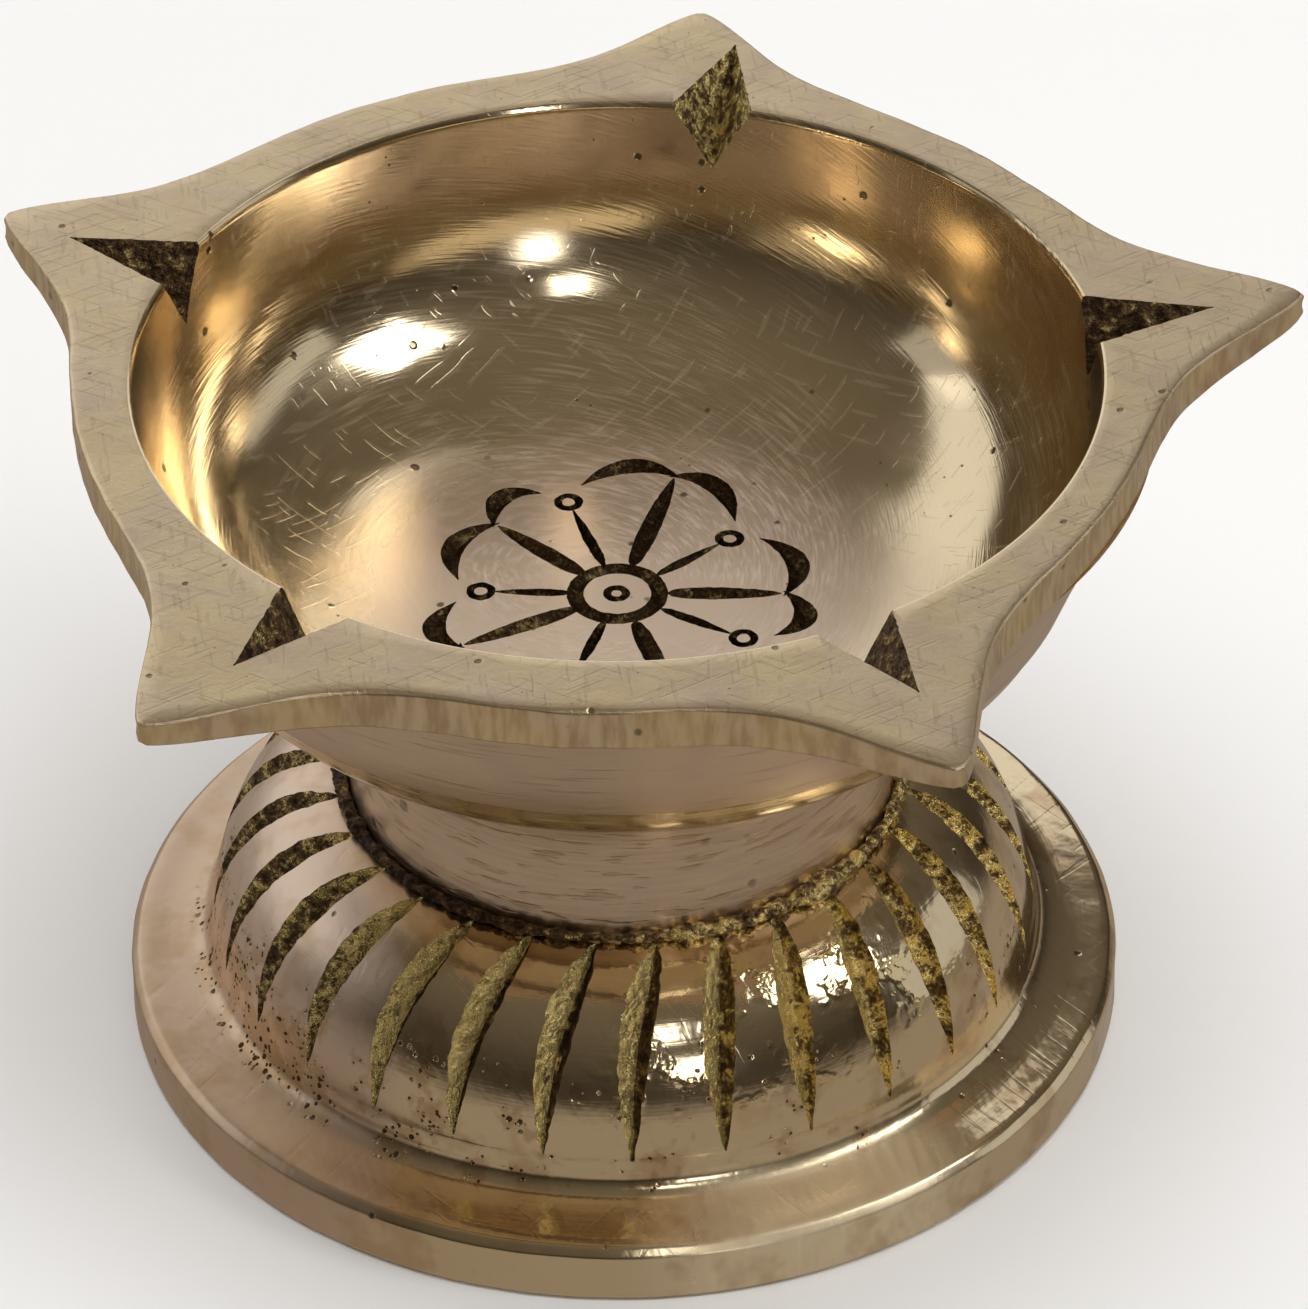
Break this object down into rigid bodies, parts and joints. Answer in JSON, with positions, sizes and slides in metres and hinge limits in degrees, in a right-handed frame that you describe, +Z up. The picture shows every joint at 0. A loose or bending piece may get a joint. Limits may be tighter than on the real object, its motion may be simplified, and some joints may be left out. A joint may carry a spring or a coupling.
{
  "type": "diya oil lamp",
  "caption": "Cast-brass pedestal oil lamp: a round bowl with a star-shaped rim and notched wick rests, screwed onto a turned neck and a fluted foot.",
  "frame": {"origin": "the middle of the foot, on the plane that the lamp stands on", "axes": "+Z up along the lamp's axis, out of the bowl; +Y close to one point of the star; +X to the right of it, seen from above"},
  "size_m": [0.0797, 0.0791, 0.0468],
  "materials": {
    "bowl_brass": "cast brass, polished inside the bowl, ground satin on the rim",
    "foot_brass": "cast brass, satin to polished, with rough flutes",
    "neck_brass": "turned satin brass",
    "rough_brass": "rough, granular and darkened",
    "fastener_brass": "plain turned brass"
  },
  "bodies": {
    "pedestal": {"fluted_foot": "foot_brass", "neck_collar": "neck_brass", "braze_fillet": "rough_brass", "joining_stud": "fastener_brass", "stud_washer": "fastener_brass", "stud_nut": "fastener_brass"},
    "bowl": {"star_bowl": "bowl_brass"}
  },
  "joints": [
    {"name": "bowl_lift", "type": "slide", "parent": "pedestal", "child": "bowl", "axis": [0, 0, 1], "range_m": [0, 0.03]}
  ]
}
